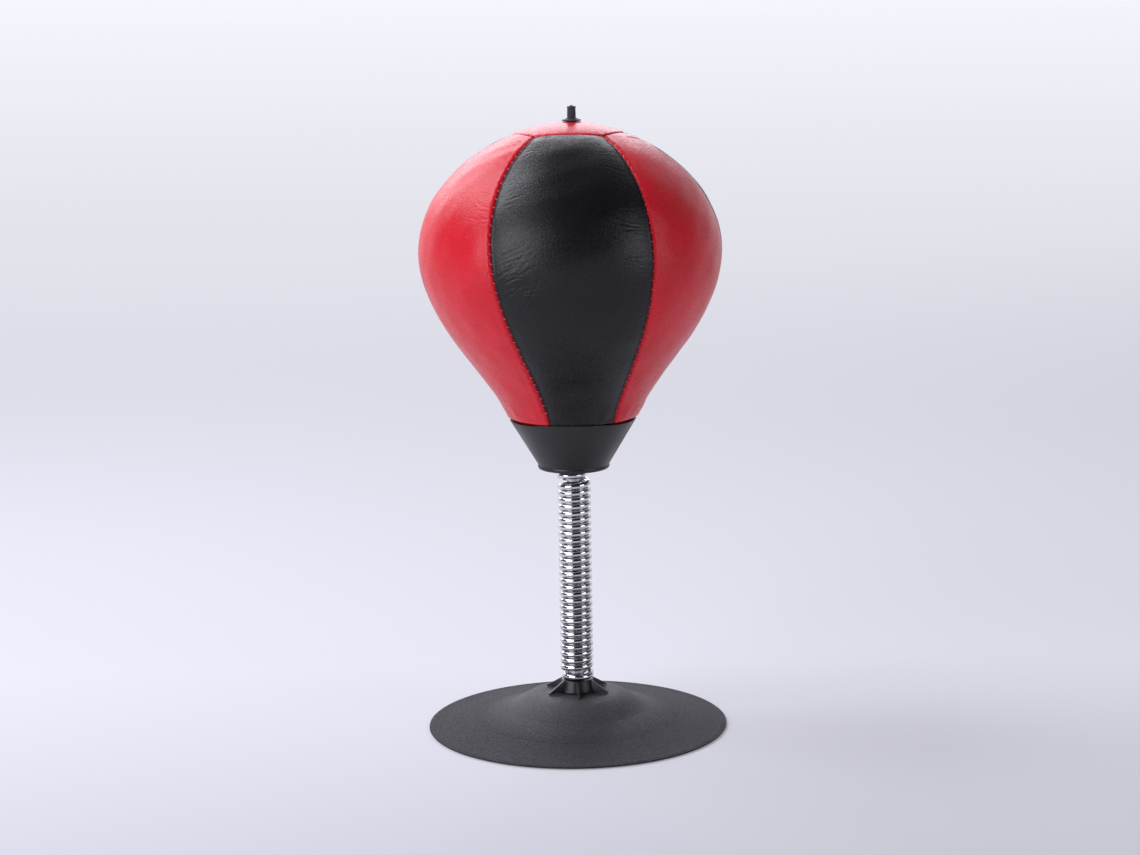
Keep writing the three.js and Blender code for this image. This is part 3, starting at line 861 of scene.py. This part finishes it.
def stitch_tube(path, radius, sides=6):
    """Points and faces of one closed tube along a short path of points."""
    path = np.array(path)
    points, faces = [], []
    for n, here in enumerate(path):
        along = path[min(n + 1, len(path) - 1)] - path[max(n - 1, 0)]
        along /= np.linalg.norm(along)
        side = np.cross(along, here)
        side /= np.linalg.norm(side)
        up = np.cross(side, along)
        for k in range(sides):
            angle = 2 * math.pi * k / sides
            points.append(here + radius * (side * math.cos(angle) + up * math.sin(angle)))
    faces = grid_faces(len(path), sides, 0, round_rows=True)
    last = (len(path) - 1) * sides
    faces.append(tuple(range(sides)))
    faces.append(tuple(range(last, last + sides)))
    return points, faces


def stitches(name, place, count, lean, material, red_side=0):
    """A row of slanting stitches. place(n, across, along, height) gives a point in mm: stitch n,
    distances across and along the seam, and height off the ball. red_side is the way across to the
    red leather, in which each stitch starts further out: 1, -1, or 0 with red on both sides."""
    points, faces = [], []
    steps = 8
    for n in range(count):
        path = []
        for k in range(steps + 1):
            t = k / steps
            across = (t - 0.5) * STITCH_REACH + red_side * STITCH_SHIFT
            height = -STITCH_DEPTH + STITCH_RISE * math.sin(math.pi * t) ** 0.5
            path.append(place(n, across, (t - 0.5) * lean, height))
        tube, sides = stitch_tube(path, THREAD_RADIUS)
        faces += [tuple(len(points) + v for v in face) for face in sides]
        points += tube
    piece = new_piece(name, np.array(points), faces, material)
    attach(piece, "ball")
    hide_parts(name)


def side_stitches(i, material):
    """The stitches of side seam i, from just under the top seam down to the cup."""
    start = S_TOP_SEAM + 4
    count = int((S_NECK - 2 - start) / STITCH_PITCH)
    first = math.ceil(start / STITCH_PITCH)

    def place(n, across, along, height):
        s = (first + n) * STITCH_PITCH + along
        degrees = seam_angle(i, s) + math.degrees(across / float(ball_radius(s)))
        return on_ball(degrees, s, height)

    red_side = -1 if i % 2 == 0 else 1
    stitches(f"seam_thread_{i + 1}", place, count, 0.9, material, red_side)


def top_stitches(material):
    """The stitches of the top seam, spread from the middle of each of its six edges."""
    spots = []
    for i in range(len(SEAMS)):
        start, end = seam_angle(i, S_TOP_SEAM), seam_angle(i + 1, S_TOP_SEAM)
        half = TOP_PANEL_RADIUS * math.sin(math.radians((end - start) / 2))
        flat = TOP_PANEL_RADIUS * math.cos(math.radians((end - start) / 2))
        count = int((half - 1.2) / STITCH_PITCH)
        middle = math.radians((start + end) / 2)
        spots += [(middle, flat, k * STITCH_PITCH) for k in range(-count, count + 1)]

    def place(n, across, along, height):
        middle, flat, offset = spots[n]
        out, side = flat + across, offset + along
        radius = math.hypot(out, side)
        degrees = math.degrees(middle + math.atan2(side, out))
        return on_ball(degrees, float(s_at_radius(radius)), height + TOP_THREAD_LIFT)

    stitches("seam_thread_top", place, len(spots), 1.2, material)


# ---- Spring ----


def spring_line():
    """Functions of a count of turns from the foot: the wire's radius and height."""
    foot = node_corner("spring_hub", 1)[2] + 0.2 + WIRE / 2
    top = node_corner("ball_cup", 0)[2] - 0.3 - WIRE / 2
    pitch = (top - foot) / TURNS

    def climb(turn):
        return pitch * np.where(turn < 1, ease((turn - 0.6) / 0.4), turn)

    def height(turn):
        left = TURNS - turn
        return np.where(turn < left, foot + climb(turn), top - climb(left))

    def radius(turn):
        opened = [
            neck + (COIL_RADIUS - neck) * ease((inwards - 0.4) / 0.35)
            for neck, inwards in ((BOTTOM_NECK, turn), (TOP_NECK, TURNS - turn))
        ]
        return np.minimum(*opened)

    return radius, height


END_TAPER = 0.8  # the wire's thickness at its two cut ends, as a share of the rest


def wire(name, start, end, radius, height, material):
    """A length of the spring's wire between two counts of turns."""
    sides, per_turn = 16, 56
    turn = np.linspace(start, end, int((end - start) * per_turn) + 1)
    angle = turn * 2 * math.pi + math.radians(START_ANGLE)
    r = radius(turn)
    line = np.stack([r * np.cos(angle), r * np.sin(angle), height(turn)], 1)
    along = np.gradient(line, axis=0)
    along /= np.linalg.norm(along, axis=1)[:, None]
    out = np.stack([np.cos(angle), np.sin(angle), np.zeros_like(angle)], 1)
    out -= along * np.sum(out * along, axis=1)[:, None]
    out /= np.linalg.norm(out, axis=1)[:, None]
    up = np.cross(along, out)
    thickness = np.full(len(turn), WIRE / 2)
    if start == 0:
        thickness[0] *= END_TAPER
    if end == TURNS:
        thickness[-1] *= END_TAPER
    around = np.linspace(0, 2 * math.pi, sides, endpoint=False)
    ring = out[:, None] * np.cos(around)[None, :, None] + up[:, None] * np.sin(around)[None, :, None]
    points = (line[:, None] + ring * thickness[:, None, None]).reshape(-1, 3)
    faces = grid_faces(len(turn), sides, 0, round_rows=True)
    last = (len(turn) - 1) * sides
    faces.append(tuple(range(sides)))
    faces.append(tuple(range(last, last + sides)))
    return new_piece(name, points, faces, material, smooth_angle=50)


def make_spring(material):
    """Eleven lengths of wire, each across one hinge."""
    radius, height = spring_line()
    per_section = TURNS / SECTIONS
    for i in range(SECTIONS - 1):
        hinge = (i + 1) * per_section
        start = 0 if i == 0 else hinge - per_section / 2
        end = TURNS if i == SECTIONS - 2 else hinge + per_section / 2
        piece = wire(f"spring_length_{i + 1:02d}", start, end, radius, height, material)
        low = float(height(np.array(hinge - per_section / 2))) + WIRE / 2
        high = float(height(np.array(hinge + per_section / 2))) - WIRE / 2
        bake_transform(piece)
        nodes = [f"spring_section_{i + 1:02d}"]
        if i == SECTIONS - 2:
            nodes.append(f"spring_section_{SECTIONS:02d}")
        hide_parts(*nodes)


# ---- Base, hub, cup and valve ----


# Fine rings left in the base by its mould: (radius, height, width).
MOULD_RINGS = [(77.6, 0.16, 0.7), (54.4, -0.15, 0.4), (36.8, -0.12, 0.4)]


def make_suction_cup(material):
    """The broad soft base: a bell with faint mould rings and a thin sealing rim."""
    radius, _, top = node_corner("suction_cup", 1)
    hole, ceiling = 4.2, top - 4
    skirt = bezier((radius, 1), (66, 2.7), (48, 6.1), (37, 10.3), 160)
    shoulder = bezier((37, 10.3), (31, 12.6), (26.8, top), (18.5, top), 80)
    cavity = bezier((radius - 7, 0), (60, 0.4), (44, 3.8), (33, 7.5), 24)
    crown = bezier((33, 7.5), (28.5, 9.5), (25, ceiling), (14.5, ceiling), 16)
    outside = np.concatenate([skirt, shoulder[1:]])
    for ring, size, width in MOULD_RINGS:
        outside[:, 1] += size * bell(outside[:, 0] - ring, width)
    points = [(radius - 0.8, 0), (radius - 0.25, 0.2), (radius, 0.55), (radius - 0.08, 0.9)]
    points += [tuple(p) for p in outside[1:]]
    points += [(hole + 0.3, top), (hole, top - 0.3), (hole, ceiling)]
    points += [tuple(p) for p in crown[::-1]] + [tuple(p) for p in cavity[::-1][1:]]
    piece = turned("suction_base", points, material, segments=160)
    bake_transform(piece)
    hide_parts("suction_cup")


def make_hub(material):
    """The spring's seat: a tapered boss with six gusset ribs, fused and softly rounded."""
    foot = node_corner("spring_hub", 0)[2]
    top = node_corner("spring_hub", 1)[2]
    profile = rounded(
        [(4.2, foot), (10, foot), (10, foot + 0.8), (9.35, foot + 0.9), (8.4, top), (4.2, top)],
        [0, 0.2, 0.25, 0.4, 0.5, 0.4],
    )
    hub = turned("hub_with_ribs", profile, material, segments=72)
    reach, thickness, turn = 18.4, 1.25, 3
    ribs = 6
    for i in range(ribs):
        angle = math.radians(turn + 360 // ribs * i)
        out = np.array([math.sin(angle), -math.cos(angle), 0])
        side = np.array([math.cos(angle), math.sin(angle), 0])
        outline = rounded(
            [
                (6.5, foot + 0.05),
                (reach, foot + 0.05),
                (reach, foot + 0.55),
                (8.9, top - 0.35),
                (6.5, top - 0.5),
            ],
            [0, 0.2, 0.35, 0.5, 0],
        )
        points = []
        for offset in (-0.5, 0.5):
            for x, z in outline:
                points.append(out * x + side * offset * thickness + np.array([0, 0, z]))
        count = len(outline)
        faces = [tuple(range(count)), tuple(range(count, 2 * count))]
        faces += [(k, (k + 1) % count, count + (k + 1) % count, count + k) for k in range(count)]
        rib = new_piece(f"rib_{i}", points, faces, material)
        union = hub.modifiers.new("rib", "BOOLEAN")
        union.operation = "UNION"
        union.solver = "EXACT"
        union.object = rib
        apply_modifiers(hub)
        bpy.data.objects.remove(rib)
    soften_edges(hub, 0.18)
    apply_modifiers(hub)
    hub.data.shade_smooth()
    hub.data.set_sharp_from_angle(angle=math.radians(35))
    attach(hub, "hub")
    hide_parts("spring_hub")


RIM_LIFT = 1.4  # how far the ball pushes up the cup's rim at the front, in millimetres
RIM_LIFT_WIDTH = 0.7  # in radians round the rim


def make_cup(material):
    """The cone under the ball, with a rounded lip at its foot and a thin rim."""
    low, rim = node_corner("ball_cup", 0)[2], node_corner("ball_cup", 1)[2]
    floor = CUP_UNDERSIDE
    profile = rounded(
        [
            (3.05, low),
            (6.8, low),
            (7.3, floor),
            (18.7, floor),
            (19.1, floor + 1.5),
            (18.75, floor + 2.1),
            (33.5, rim),
            (31.7, rim),
            (16, floor + 2.5),
            (3.05, floor + 2.5),
        ],
        [0.3, 0.5, 0.6, 0.9, 0.8, 0.5, 0.7, 0.5, 1, 0.3],
        steps=5,
    )
    cup = turned("cup_under_ball", profile, material, segments=128)
    for vertex in cup.data.vertices:
        # The ball pushes the thin rim up a little at the front.
        x, y, z = vertex.co / MM
        share = max(0, (z - floor) / (rim - floor))
        vertex.co.z += RIM_LIFT * share**3 * float(bell(math.atan2(x, -y), RIM_LIFT_WIDTH)) * MM
    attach(cup, "ball")
    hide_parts("ball_cup")


def make_valve(material):
    """The inflation stem, the collar that seals it to the leather, and its plug."""
    middle = VALVE_OFFSET * MM
    seat = node_corner("valve_collar", 0)[2]
    bottom, top = node_corner("valve_stem", 0)[2], node_corner("valve_stem", 1)[2]
    outline = [(1.1, bottom), (2.25, bottom), (2.25, seat + 3)]
    outline += [(2.15, top - 0.9), (2.3, top - 0.7), (2.2, top), (1.1, top)]
    profile = rounded(outline, [0.1, 0.2, 0.3, 0.1, 0.15, 0.25, 0.1], steps=3)
    stem = turned("stem", profile, material, segments=40)
    stem.location.x = middle
    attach(stem, "ball")
    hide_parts("valve_stem")
    outline = [(2.55, seat), (4.95, seat), (4.95, seat + 0.55)]
    outline += [(3.6, seat + 0.85), (2.95, seat + 1.3), (2.55, seat + 1.3)]
    profile = rounded(outline, [0, 0.2, 0.3, 0.5, 0.2, 0.1])
    collar = turned("collar", profile, material, segments=56)
    collar.location.x = middle
    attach(collar, "ball")
    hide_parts("valve_collar")
    low, high = node_corner("valve_plug", 0)[2], node_corner("valve_plug", 1)[2]
    outline = [(0, low), (0.8, low), (0.8, high - 0.35), (0.5, high), (0, high)]
    profile = rounded(outline, [0, 0.1, 0.15, 0.15, 0])
    plug = turned("plug", profile, material, segments=24)
    plug.location.x = middle
    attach(plug, "plug")
    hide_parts("valve_plug")


def dress_hidden(materials):
    """Gives each carried-over CAD piece its material, and softens all their edges but the bladder's."""
    looks = {
        "seal_washer": "soft_black",
        "base_washer": "steel",
        "base_nut": "steel",
        "base_bolt": "steel",
        "clamp_plate": "steel",
        "clamp_washer": "steel",
        "clamp_nut": "steel",
        "cup_bolt": "steel",
        "bladder": "bladder_rubber",
    }
    for node, look in looks.items():
        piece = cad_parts[node]
        piece.data.materials.clear()
        piece.data.materials.append(materials[look])
        if node != "bladder":
            soften_edges(piece, 0.15)


# ---- Everything ----

make_camera()
make_studio()
MATERIALS = {
    "soft_black": soft_black_material(),
    "hard_black": hard_black_material(),
    "spring_chrome": chrome_material(),
    "steel": steel_material(),
    "red_leather": leather("red_leather", (0.54, 0.008, 0.018), (0.62, 0.012, 0.026), 0.3, 0.3),
    "black_leather": leather("black_leather", (0.005, 0.005, 0.0065), (0.0075, 0.0072, 0.009), 0.3, 0.33),
    "red_thread": thread_material(),
    "bladder_rubber": bladder_material(),
}
PANELS = [
    "black_panel_front",
    "red_panel_right",
    "black_panel_right",
    "red_panel_back",
    "black_panel_left",
    "red_panel_left",
]
for index, panel in enumerate(PANELS):
    is_red = panel.startswith("red")
    panel_slot = "red_leather" if is_red else "black_leather"
    side_panel(index, panel, is_red, MATERIALS[panel_slot])
    side_stitches(index, MATERIALS["red_thread"])
top_panel(MATERIALS["red_leather"])
top_stitches(MATERIALS["red_thread"])
make_spring(MATERIALS["spring_chrome"])
make_suction_cup(MATERIALS["soft_black"])
make_hub(MATERIALS["hard_black"])
make_cup(MATERIALS["hard_black"])
make_valve(MATERIALS["soft_black"])
dress_hidden(MATERIALS)
